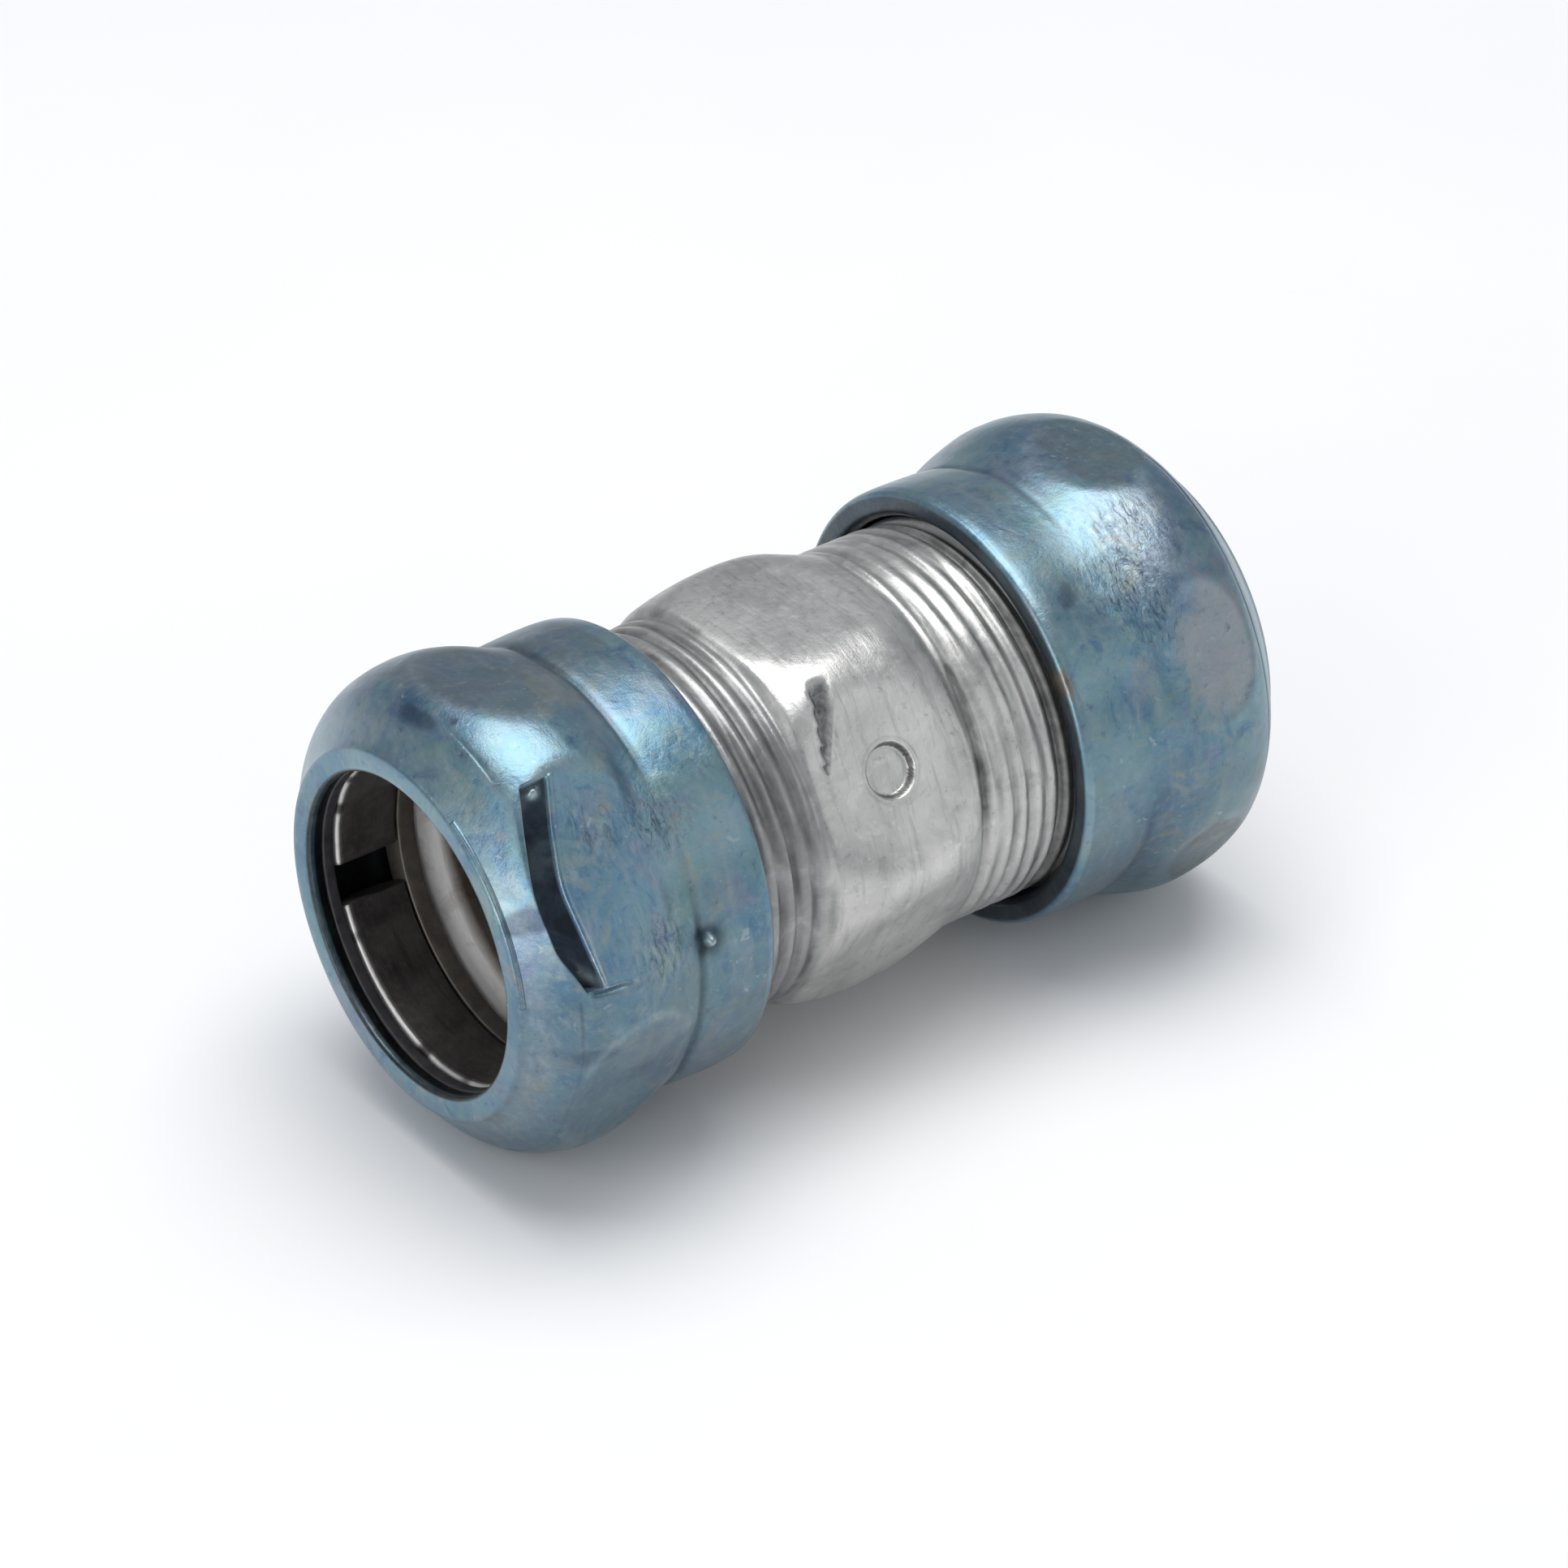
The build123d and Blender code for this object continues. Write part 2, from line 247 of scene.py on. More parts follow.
def make_nut(name, side, phase, flats, groove, seed, tones):
    loop, n_out = nut_section()
    loop = [(side * (HALF - xi), r) for xi, r in loop]
    flats = np.array(flats)
    tones = np.array(tones)

    def shape(X, R, A, IDX):
        xi = HALF - side * X
        a = (A - phase + 180) % 360 - 180
        b, k = hexfold(a)
        out = IDX < n_out
        skin = out & (xi > 0.02) & (xi < 14.5)
        lo, hi = curve(GROOVE_L, b), curve(GROOVE_R, b)
        if groove is not None:
            # carry the rows of the section to the edges of the groove
            w = (k == groove) * (1 - smoothstep(25.0, 29.8, np.abs(b))) * skin
            t = np.where(xi < BAND_LO, 0.9 + (xi - 0.9) * (lo - 0.9) / (BAND_LO - 0.9),
                         np.where(xi < BAND_HI, lo + (xi - BAND_LO) * (hi - lo) / (BAND_HI - BAND_LO),
                                  hi + (xi - BAND_HI) * (7.4 - hi) / (7.4 - BAND_HI)))
            t = np.where((xi > 0.9) & (xi < 7.4), t, xi)
            xi = xi + w * (t - xi)
            X = side * (HALF - xi)
            R = np.where(skin & (w > 0), outer_radius(xi), R)
        front, rear, soft = flats[k, 0], flats[k, 1], flats[k, 2]
        apo = front + (rear - front) * np.clip((xi - 3.0) / 7.0, 0, 1)
        plane = apo / np.cos(np.radians(b))
        # the flats stop under the collar, whose edge rises over them
        plane = plane + 1.2 * smoothstep(10.2, 11.2, xi)
        collar = np.where(xi > 9.2, curve(COLLAR, xi), 0.0)
        # where the sheet was not pinched in, it runs straight on into the collar
        full = R
        if groove is None:
            easy = smoothstep(75, 50, np.abs((A + 52 + 180) % 360 - 180)) * skin
            full = R + easy * smoothstep(5.8, 7.2, xi) * (np.maximum(R, curve(EASY, xi)) - R)
        cut = smin(full, plane, soft)
        cut = np.where(xi > 9.2, -smin(-cut, -collar, 0.12), cut)
        if groove is not None:
            easy = smoothstep(30, 16, np.abs((A + 54 + 180) % 360 - 180)) * 0.85
            ease = 12.55 + 0.25 * smoothstep(8.6, 12.6, xi)
            cut = np.where(xi > 8.2, cut + easy * smoothstep(8.2, 9.4, xi) * (ease - cut), cut)
        r = np.where(skin, cut, R)
        flatmask = np.where(skin & (xi < 10.6), smoothstep(0.35, -0.3, plane - R), 0.0)
        wear_and_highlight = np.where(skin, np.exp(-((plane - R) / 0.16) ** 2) * (xi < 9.6) * (xi > 2.6), 0.0) * (0.55 if groove is not None else 0.06)
        recess_painted_shade = np.zeros_like(r)
        rad = np.radians(A)
        P = np.stack([X, R * np.sin(rad), R * np.cos(rad)], -1)
        mask_a = (A + 54 + 180) % 360 - 180
        if groove is not None:
            gk = k == groove
            u = (xi - lo) / (hi - lo)
            ends = smoothstep(24.9, 24.45, np.abs(b + 0.2))
            d = smoothstep(-0.02, 0.10, u) * (1 - 0.55 * smoothstep(0.35, 0.9, u)) * (1 - smoothstep(0.9, 1.03, u)) * ends * gk * skin
            r = r - 0.55 * d
            # painted shade: the groove's wall and floor painted dark
            recess_painted_shade = smoothstep(0.02, 0.3, d) * smoothstep(1.04, 0.94, u)
            # burr thrown up along the groove's back edge, painted pale along it as a highlight
            burr = np.exp(-((u - 1.13) / 0.09) ** 2) * ends * gk * skin
            r = r + 0.06 * burr
            wear_and_highlight = np.maximum(wear_and_highlight * 0.5, burr * smoothstep(10, -24, b) * 1.0)
            # squeezed tick at the lower end of the groove, painted dark as shade
            tick = np.exp(-((b + 25.6) / 0.5) ** 2) * smoothstep(2.7, 3.1, xi) * (1 - smoothstep(4.4, 5.2, xi)) * gk * skin
            r = r - 0.16 * tick
            recess_painted_shade = np.maximum(recess_painted_shade, 0.6 * tick)
            # bead of plating caught at its upper end, painted pale as a glint, and one on the collar's edge, painted
            # pale on top as a highlight with painted shade in the ring round it
            bead = spot(xi, A, 3.72, -31.2, 0.24, 1.05)
            r = r + 0.45 * bead * skin
            recess_painted_shade = recess_painted_shade * (1 - np.clip(2.2 * bead, 0, 1))
            wear_and_highlight = np.maximum(wear_and_highlight, np.clip(2.0 * bead, 0, 1) * skin)
            lump = spot(xi, A, 10.75, -80.0, 0.40, 1.8)
            moat = np.clip(spot(xi, A, 10.75, -80.0, 0.72, 3.3) - 1.15 * lump, 0, 1)
            r = r + (0.52 * lump - 0.10 * moat) * skin
            recess_painted_shade = np.maximum(recess_painted_shade, np.clip(1.7 * moat, 0, 0.85) * skin)
            wear_and_highlight = np.maximum(wear_and_highlight, 0.9 * smoothstep(0.4, 0.8, lump) * skin)
            # painted highlight: a paler band round the front lip
            wear_and_highlight = np.maximum(wear_and_highlight, 0.30 * np.exp(-((xi - 0.7) / 0.7) ** 2) * skin)
        # fine scribed line where the dome meets the hexagon, painted darker along it as shade
        line_xi = 2.28 + 0.55 * smoothstep(14, 0, np.abs(b)) * (k == 0)
        line = np.exp(-((xi - line_xi) / 0.08) ** 2) * skin * (0.3 + 0.7 * smoothstep(-0.2, 0.6, value_noise(np.stack([A / 22, A * 0 + seed, A * 0], -1), seed)))
        if groove is not None:
            line = line * smoothstep(25.5, 28, np.abs(mask_a)) * (0.35 + 0.65 * smoothstep(8, -2, A))
        r = r - 0.045 * line
        # crease in front of the collar, pressed harder in some places than in others, painted darker along it as shade
        press = 0.5 + 0.5 * value_noise(np.stack([A / 26 + 3, A * 0 + seed, A * 0], -1), seed + 1)
        if groove is not None:
            press = np.where(np.abs(mask_a) < 75, 0.15 + 0.85 * smoothstep(8, 22, np.abs(mask_a)), press)
        else:
            press = press * smoothstep(20, 60, np.abs(mask_a + 4))
        crease = np.exp(-((xi - 10.3) / 0.22) ** 2) * skin * press
        r = r - 0.06 * crease
        # large, soft unevenness of drawn sheet steel
        dent = 0.05 * value_noise(P / 5.0, seed + 3) + 0.016 * value_noise(P / 1.9, seed + 7) + 0.006 * value_noise(P / 0.8, seed + 9)
        r = np.where(out, r + dent * smoothstep(0.3, 1.2, xi) * smoothstep(15.0, 13.8, xi), r)
        r = np.where(out, np.minimum(r, 13.93), r)
        # female thread
        thr = (~out) & (xi > 7.3) & (xi < 14.6)
        wv = ridge_wave(X + PITCH / 2, A, 0.40, 0.13)
        fade = smoothstep(7.5, 8.2, xi) * smoothstep(14.35, 13.7, xi)
        r = np.where(thr, F_ROOT - (F_ROOT - F_CREST) * wv * fade, r)
        # painted shade: the lip's inner edge and all faces inside the nut painted near black
        inside_painted_shade = np.where(out, smoothstep(0.32, 0.12, xi) * (R < 9.4), 1.0)
        # painted shade: the nut's rear face painted near black
        rear_face_painted_shade = np.where(out, smoothstep(14.9, 15.0, xi) * smoothstep(12.62, 12.45, R), 0.0)
        rear_face_painted_shade = np.where(out & (xi > 14.4) & (R < 11.8), 1.0, rear_face_painted_shade)
        wob = value_noise(P / 0.9, seed + 20)
        wide = value_noise(P / 2.2, seed + 21)
        if groove is None:
            oval = np.exp(-(((xi - 5.1) / 2.7) ** 2 + (b / 17.0) ** 2) ** 1.6)
            tone_and_painted_light = np.where(skin, tones[k] * smoothstep(0.2, 0.75, oval + 0.14 * wob + 0.12 * wide), 0.0)
        else:
            tone_and_painted_light = np.where(skin, tones[k] * smoothstep(0.0, 0.6, flatmask) * (0.75 + 0.25 * wob), 0.0)
        # painted highlight: the upper near corner is painted paler; painted shade: the underside is painted greyer
        painted_highlight_patch = spot(xi, A, 3.1, -22, 1.7, 10) if groove is not None else spot(xi, A, 6.8, -27, 2.2, 10)
        tone_and_painted_light = np.where(skin & (tone_and_painted_light > -0.3), np.maximum(tone_and_painted_light, 0.9 * painted_highlight_patch * (0.85 + 0.15 * wob)), tone_and_painted_light)
        painted_underside_shade = smoothstep(60, 28, np.abs((A + 128 + 180) % 360 - 180))
        tone_and_painted_light = np.where(skin, tone_and_painted_light - 0.62 * painted_underside_shade * (0.8 + 0.2 * wob), tone_and_painted_light)
        # painted shade: the right nut's collar painted darker on its upper near side
        if groove is None:
            tone_and_painted_light = np.where(skin, tone_and_painted_light - 0.45 * smoothstep(10.3, 11.3, xi) * np.exp(-((A + 26) / 20.0) ** 2), tone_and_painted_light)
        stain = np.zeros_like(r)
        scuff = np.zeros_like(r)
        rust = np.zeros_like(r)
        if groove is not None:
            top = np.exp(-(((A - 12 + 180) % 360 - 180) / 26) ** 4)
            tone_and_painted_light = np.minimum(tone_and_painted_light, -0.75 * top * smoothstep(2.4, 3.6, xi) * (xi < 13.9) * (0.8 + 0.2 * wob))
            # painted shade: the lower near side painted darker
            tone_and_painted_light = np.minimum(tone_and_painted_light, -0.4 * smoothstep(22, 10, np.abs((A + 118 + 180) % 360 - 180)) * (xi > 0.2))
            stain = np.maximum(stain, smoothstep(0.35, 0.75, spot(xi, A, 0.8, -60, 1.0, 5.5) * (1 + 0.6 * wob + 0.5 * wide)))
            stain = np.maximum(stain, 0.5 * smoothstep(0.3, 0.9, spot(xi, A, 2.6, -97, 1.9, 2.6) * (1 + 0.7 * wob + 0.5 * wide)))
            stain = np.maximum(stain, 0.9 * smoothstep(0.35, 0.7, spot(xi, A, 2.75, -6, 0.26, 1.2) * (1 + 0.3 * wob)))
            stain = np.maximum(stain, 0.7 * smoothstep(0.3, 0.8, spot(xi, A, 1.9, 4, 0.45, 8.0) * (1 + 0.6 * wob)))
            scuff = spot(xi, A, 7.6, -76, 1.4, 7.0) + 0.8 * spot(xi, A, 9.6, -47, 1.6, 8.0) + 0.6 * spot(xi, A, 6.0, -44, 1.5, 9)
        else:
            scuff = spot(xi, A, 9.2, -38, 2.2, 9.0) + 0.9 * spot(xi, A, 7.2, -25, 2.0, 8.0) + 0.6 * spot(xi, A, 8.4, -52, 1.6, 7.0)
            rust = 0.7 * smoothstep(0.25, 0.8, spot(xi, A, 14.85, -57, 0.32, 5.0) * (1 + 0.6 * wob))
            stain = 0.7 * smoothstep(0.3, 0.8, spot(xi, A, 12.6, -36, 0.9, 4.0) * (1 + 0.7 * wob))
        out_f = np.where(out, 1.0, 0.0)
        return X, r, {"groove": np.clip(recess_painted_shade + 0.45 * line + 0.5 * crease, 0, 1), "flat": flatmask, "wear_and_highlight": np.clip(wear_and_highlight, 0, 1),
                      "inside_painted_shade": inside_painted_shade, "rear_face_painted_shade": rear_face_painted_shade, "tone_and_painted_light": 0.5 + 0.5 * np.clip(tone_and_painted_light, -1, 1), "stain": np.clip(stain, 0, 1) * out_f,
                      "scuff": np.clip(scuff, 0, 1) * out_f, "rust": np.clip(rust, 0, 1) * out_f}

    if groove is not None:
        cols = angles(1.0, (-54.0, 25.5, 0.42), (-30.9, 1.6, 0.25), (-80.0, 3.0, 0.28))
    else:
        cols = angles(0.9)
    return lathe(name, loop, cols, shape, flip=side < 0)


# ------------------------------------------------------------------ barrel
BULGE = [(-6.8, 10.95), (-5.8, 11.2), (-4.6, 11.62), (-3.4, 11.95), (-1.8, 12.2), (0.0, 12.27), (1.4, 12.2), (2.6, 11.98), (3.8, 11.55),
         (4.6, 11.27), (5.4, 11.08), (6.8, 10.95)]


def make_body(name):
    x0, x1 = BODY_X - BODY_HALF, BODY_X + BODY_HALF
    outer = [(x0, 9.98), (x0, 10.1), (x0 + 0.03, 10.2), (x0 + 0.12, 10.3)]
    us = list(np.linspace(-17.75, -11.0, 56)) + list(np.arange(-10.87, -4.9, 0.1)) + list(np.arange(-4.9, -1.95, 0.2))
    us += list(np.arange(-1.9, 1.91, 0.08)) + list(np.arange(2.1, 4.95, 0.2)) + list(np.arange(5.0, 10.95, 0.1)) + list(np.linspace(11.0, 17.75, 56))
    outer += [(float(BODY_X + u), 11.0) for u in us]
    outer += [(x1 - 0.12, 10.3), (x1 - 0.03, 10.2), (x1, 10.1), (x1, 9.98)]
    n_out = len(outer)
    inner = [(x1 - 0.03, 9.92), (x1 - 0.6, 9.65), (x1 - 1.2, 9.38), (x1 - 1.75, 9.13), (x1 - 1.9, 9.1)]
    inner += [(float(x), 9.1) for x in np.linspace(x1 - 3, BODY_X + 3.9, 8)]
    inner += [(float(BODY_X + u), 9.1) for u in np.linspace(3.5, -3.5, 25)]
    inner += [(float(x), 9.1) for x in np.linspace(BODY_X - 3.9, x0 + 3, 8)]
    inner += [(x0 + 1.9, 9.1), (x0 + 1.75, 9.13), (x0 + 1.2, 9.38), (x0 + 0.6, 9.65), (x0 + 0.03, 9.92)]
    loop = outer + inner

    def shape(X, R, A, IDX):
        out = IDX < n_out
        u = X - BODY_X
        a = (A + 180) % 360 - 180
        b, k = hexfold(a)
        rad = np.radians(A)
        P = np.stack([X, R * np.sin(rad), R * np.cos(rad)], -1)
        rough = value_noise(P / 1.1, 15)
        # hexagon squeezed out of the tube, corners barrelled
        bulge = curve(BULGE, u)
        # the corner over the dimple is sharper on its left half
        near = smoothstep(32, 14, np.abs((a + 30)))
        plane = smin(HEX_A / np.cos(np.radians(np.abs(b))), HEX_A / np.cos(np.radians(60 - np.abs(b))), 0.5 + near * 2.2 * smoothstep(-3.2, 1.6, u))
        hexr = smin(bulge, plane, 0.7)
        # shallow rolled threads, worn and uneven where they show
        w = ridge_wave(X, a, 0.47, 0.07)
        shown = 1 - smoothstep(10.3, 10.9, np.abs(u))
        wear = smoothstep(-0.7, 0.9, value_noise(P / np.array([0.9, 4.0, 4.0]), 17))
        root = ROOT + 0.02 + shown * (0.17 + 0.21 * wear + 0.06 * (u > 0))
        crest = CREST - shown * (0.02 + 0.05 * smoothstep(0.1, 0.9, -value_noise(P / np.array([0.7, 3.0, 3.0]), 18)))
        thr = root + (crest - root) * w
        thr = np.minimum(thr, 10.25 + np.minimum(X - x0, x1 - X) * 0.9)
        blend = smoothstep(4.7, 5.7, np.abs(u + 0.15))
        base = hexr * (1 - blend) + thr * blend
        endpts = out & ((IDX < 4) | (IDX >= n_out - 4))
        r = np.where(out & ~endpts, base, R)
        dent = 0.035 * value_noise(P / 3.5, 11) + 0.012 * value_noise(P / 1.3, 12)
        r = np.where(out & ~endpts, r + dent * (1 - smoothstep(10.0, 10.6, np.abs(u))), r)
        # sharp groove where the hexagon stops on the right, a shallow valley on the left
        along = smoothstep(-30, -44, a) * smoothstep(-95, -70, a) + 0.35 * smoothstep(-70, -90, a) * smoothstep(-145, -115, a)
        nick = np.exp(-((u - 5.70 - 0.006 * (a + 60)) / 0.26) ** 2) * (0.3 + 0.7 * along)
        valley = np.exp(-((u + 5.25) / 0.28) ** 2) * (0.6 + 0.4 * smoothstep(-0.4, 0.5, rough))
        r = np.where(out, r - 0.30 * nick - 0.08 * valley, r)
        # the last thread beside the right nut sunk a little and painted dark as shade; the bore swelled under the
        # hexagon
        thread_by_nut_sink_shade = smoothstep(10.3, 10.6, u) * smoothstep(11.8, 11.2, u) * out
        r = r - 0.12 * thread_by_nut_sink_shade
        r = np.where(~out, r + 0.5 * smoothstep(3.5, 2.7, np.abs(u)), r)
        # pressed stops
        pit = np.zeros_like(r)
        ring = np.zeros_like(r)
        for ang in (-60.0, 120.0):
            da = (A - ang + 180) % 360 - 180
            t = np.hypot(u + 0.12, np.radians(da) * 11.1)
            near = (np.abs(da) < 40)
            p = smoothstep(1.56, 1.36, t) * near
            g = np.exp(-((t - 1.68) / 0.13) ** 2) * near
            pit = np.maximum(pit, p)
            ring = np.maximum(ring, g)
            # blunt cone inside
            inner_p = smoothstep(2.2, 1.3, t * 9.1 / 11.1 * 1.0) * near
            r = np.where(~out, np.minimum(r, R + 0.5 * smoothstep(3.5, 2.7, np.abs(u)) - 1.4 * inner_p), r)
        r = np.where(out, r - 0.58 * pit + 0.05 * ring, r)
        # painted shade: the dimple's wall painted dark
        pit_wall_painted_shade = smoothstep(0.03, 0.3, pit) * (1 - smoothstep(0.85, 1.0, pit))
        # painted shade: thread roots, the groove and valley where the hexagon stops, and the last thread by the nut
        # painted darker
        groove = np.where(out, np.maximum(blend * (1 - w) ** 1.5 * (0.35 + 0.65 * smoothstep(-0.5, 0.6, value_noise(P / np.array([0.6, 2.2, 2.2]), 19))), 0), 0)
        groove = groove * np.where(u > 0, 0.45, 1.0)
        groove = np.maximum(groove, np.where(out, 1.3 * nick * along + 0.4 * nick + 0.6 * valley * smoothstep(-0.3, 0.6, rough), 0))
        groove = np.maximum(groove, 0.9 * thread_by_nut_sink_shade)
        # three-cornered step at the upper left of the dimpled flat, painted dark as shade
        s = np.clip((-a - 31.5) / 26.0, 0, 1)
        tri_l = -3.05 - 1.1 * s
        tri_w = np.maximum(1.2 * (1 - s), 0.03)
        v = (u - tri_l) / tri_w
        tri = smoothstep(-0.06, 0.05, v) * (1 - smoothstep(0.75, 1.1, v)) * smoothstep(-29.0, -33.5, a) * smoothstep(-58, -55, a) * out
        r = r - 0.40 * tri * (1 - 0.75 * np.clip(v, 0, 1)) * smoothstep(1.0, 0.6, s)
        lip = np.exp(-((v - 1.25) / 0.18) ** 2) * smoothstep(-34, -40, a) * smoothstep(-56, -48, a) * out
        r = r + 0.05 * lip
        # painted highlight: the mouth bevel painted near white
        mouth_painted_highlight = np.where(out, 0.0, smoothstep(16.4, 16.75, np.abs(u)))
        # painted shade: the bore painted dark brown
        inside_painted_shade = np.where(out, 0.0, 1.0)
        top = np.exp(-((u - 0.35) / 2.9) ** 4) * np.exp(-((a - 6) / 27) ** 4) * out
        # painted shade: the left threads painted darker, most from the near side round to the bottom
        left_thread_painted_shade = np.where(out, smoothstep(-4.9, -6.0, u) * (0.55 + 0.45 * smoothstep(0, -40, a)), 0)
        return X, r, {"groove": np.clip(groove, 0, 1), "tri": tri, "pit_wall_painted_shade": pit_wall_painted_shade, "inside_painted_shade": inside_painted_shade, "pit": pit, "mouth_painted_highlight": mouth_painted_highlight, "top": top, "left_thread_painted_shade": left_thread_painted_shade}

    cols = angles(2.15, (-60.0, 8.6, 0.42), (120.0, 8.6, 0.6), (-42.0, 13.0, 0.62))
    return lathe(name, loop, cols, shape, flip=True)


HEX_A = 11.1


# ------------------------------------------------------------------ rings inside a nut
def plain(X, R, A, IDX):
    return X, R, {}


def rounded(points, rad, n=3):
    """Closed (x, r) loop with its corners rounded."""
    out = []
    m = len(points)
    for i in range(m):
        p0, p1, p2 = (np.array(points[(i + d) % m], float) for d in (-1, 0, 1))
        a, c = p0 - p1, p2 - p1
        la, lc = np.linalg.norm(a), np.linalg.norm(c)
        d = min(rad, la * 0.45, lc * 0.45)
        s, e = p1 + a / la * d, p1 + c / lc * d
        for k in range(n + 1):
            t = k / n
            out.append(tuple((1 - t) ** 2 * s + 2 * t * (1 - t) * p1 + t * t * e))
    return out


def subdivide(loop, step):
    out = []
    m = len(loop)
    for i in range(m):
        a, b = np.array(loop[i]), np.array(loop[(i + 1) % m])
        n = max(1, int(math.ceil(np.linalg.norm(b - a) / step)))
        for k in range(n):
            out.append(tuple(a + (b - a) * k / n))
    return out


def make_seal(name, side):
    pts = [(0.97, 9.16), (0.97, 10.25), (1.66, 10.4), (1.66, 9.16)]
    loop = subdivide(rounded([(side * (HALF - x), r) for x, r in pts], 0.12, 3), 0.12)

    def shape(X, R, A, IDX):
        rad = np.radians(A)
        P = np.stack([X * 2, 10 * np.sin(rad), 10 * np.cos(rad)], -1)
        n = value_noise(P / 1.1, 31)
        return X, R + np.where(R < 9.5, 0.02 * n, 0.0), {}

    return lathe(name, loop, 240, shape, flip=side > 0)


def make_ring(name, side):
    a, b, lo, hi = 1.77, 5.72, 9.17, 10.72
    pts = [(a + 0.18, lo + 0.0), (a, lo + 0.2), (a, hi - 0.55), (a + 1.3, hi), (b - 1.0, hi), (b, hi - 0.55), (b, lo + 0.02)]
    loop = subdivide(rounded([(side * (HALF - x), r) for x, r in pts], 0.16, 3), 0.2)
    gap_mid = side * -105.0
    half = math.degrees(math.asin(1.15 / 9.15)) + 0.2

    def shape(X, R, A, IDX):
        xi = HALF - side * X
        rad = np.radians(A)
        P = np.stack([X, 10 * np.sin(rad), 10 * np.cos(rad)], -1)
        n = value_noise(P / 1.4, 41)
        # painted highlight: a near-white line along the ring's inner front edge
        front = smoothstep(0.34, 0.22, xi - a) * (R < 9.6) * smoothstep(-0.75, -0.2, n)
        return X, R + np.where(R < 9.6, 0.025 * n * smoothstep(0, 0.6, xi - a), 0.0), {"front": front}

    return lathe(name, loop, 300, shape, span=(gap_mid + half, gap_mid + 360 - half), flip=side > 0)


def make_washer(name, side):
    a, b, lo, hi = 5.87, 6.98, 9.22, 10.85
    pts = [(a, lo), (a, hi), (b, hi), (b, lo)]
    loop = subdivide(rounded([(side * (HALF - x), r) for x, r in pts], 0.1, 2), 0.2)
    return lathe(name, loop, 240, lambda X, R, A, I: (X, R + np.where(R < 9.5, 0.015 * value_noise(np.stack([X * 3, A / 9, A * 0], -1), 51), 0), {}), flip=side > 0)


# ------------------------------------------------------------------ materials
class Nodes:
    """Small helper for building node materials."""

    def __init__(self, name):
        self.mat = bpy.data.materials.new(name)
        self.mat.use_nodes = True
        self.t = self.mat.node_tree
        self.t.nodes.clear()
        self.out = self.t.nodes.new("ShaderNodeOutputMaterial")
        self.bsdf = self.t.nodes.new("ShaderNodeBsdfPrincipled")
        self.t.links.new(self.bsdf.outputs[0], self.out.inputs[0])
        self.pos = self.t.nodes.new("ShaderNodeTexCoord").outputs["Object"]

    def link(self, a, b):
        self.t.links.new(a, b)

    def put(self, sock, val):
        if hasattr(val, "is_linked") or isinstance(val, bpy.types.NodeSocket):
            self.link(val, sock)
        else:
            sock.default_value = val

    def attr(self, name):
        n = self.t.nodes.new("ShaderNodeAttribute")
        n.attribute_name = name
        return n.outputs["Fac"]

    def scaled(self, sx, sy, sz, off=(0, 0, 0)):
        n = self.t.nodes.new("ShaderNodeMapping")
        n.inputs["Scale"].default_value = (sx, sy, sz)
        n.inputs["Location"].default_value = off
        self.link(self.pos, n.inputs["Vector"])
        return n.outputs[0]

    def noise(self, vec, scale, detail=4.0, rough=0.55, distort=0.0):
        n = self.t.nodes.new("ShaderNodeTexNoise")
        n.inputs["Scale"].default_value = scale
        n.inputs["Detail"].default_value = detail
        n.inputs["Roughness"].default_value = rough
        n.inputs["Distortion"].default_value = distort
        self.link(vec, n.inputs["Vector"])
        return n.outputs["Fac"]

    def voronoi(self, vec, scale, feature="F1", rand=1.0):
        n = self.t.nodes.new("ShaderNodeTexVoronoi")
        n.feature = feature
        n.inputs["Scale"].default_value = scale
        n.inputs["Randomness"].default_value = rand
        self.link(vec, n.inputs["Vector"])
        return n.outputs["Distance"]

    def ramp(self, fac, stops):
        """stops: (position, value or (r, g, b))."""
        n = self.t.nodes.new("ShaderNodeValToRGB")
        e = n.color_ramp.elements
        while len(e) > 1:
            e.remove(e[-1])
        for i, (p, c) in enumerate(stops):
            el = e[0] if i == 0 else e.new(p)
            el.position = p
            c = (c, c, c) if isinstance(c, (int, float)) else c
            el.color = (*c, 1)
        self.link(fac, n.inputs[0])
        return n.outputs[0]

    def math(self, op, a, b=0.0, clamp=False):
        n = self.t.nodes.new("ShaderNodeMath")
        n.operation = op
        n.use_clamp = clamp
        self.put(n.inputs[0], a)
        self.put(n.inputs[1], b)
        return n.outputs[0]

    def mix(self, fac, a, b, mode="MIX"):
        n = self.t.nodes.new("ShaderNodeMix")
        n.data_type = "RGBA"
        n.blend_type = mode
        self.put(n.inputs["Factor"], fac)
        self.put(n.inputs[6], a if not isinstance(a, tuple) else (*a, 1))
        self.put(n.inputs[7], b if not isinstance(b, tuple) else (*b, 1))
        return n.outputs[2]

    def mixf(self, fac, a, b):
        n = self.t.nodes.new("ShaderNodeMix")
        n.data_type = "FLOAT"
        self.put(n.inputs["Factor"], fac)
        self.put(n.inputs[2], a)
        self.put(n.inputs[3], b)
        return n.outputs[0]

    def bump(self, height, distance, strength=1.0, normal=None):
        n = self.t.nodes.new("ShaderNodeBump")
        n.inputs["Strength"].default_value = strength
        n.inputs["Distance"].default_value = distance
        self.link(height, n.inputs["Height"])
        if normal is not None:
            self.link(normal, n.inputs["Normal"])
        return n.outputs[0]


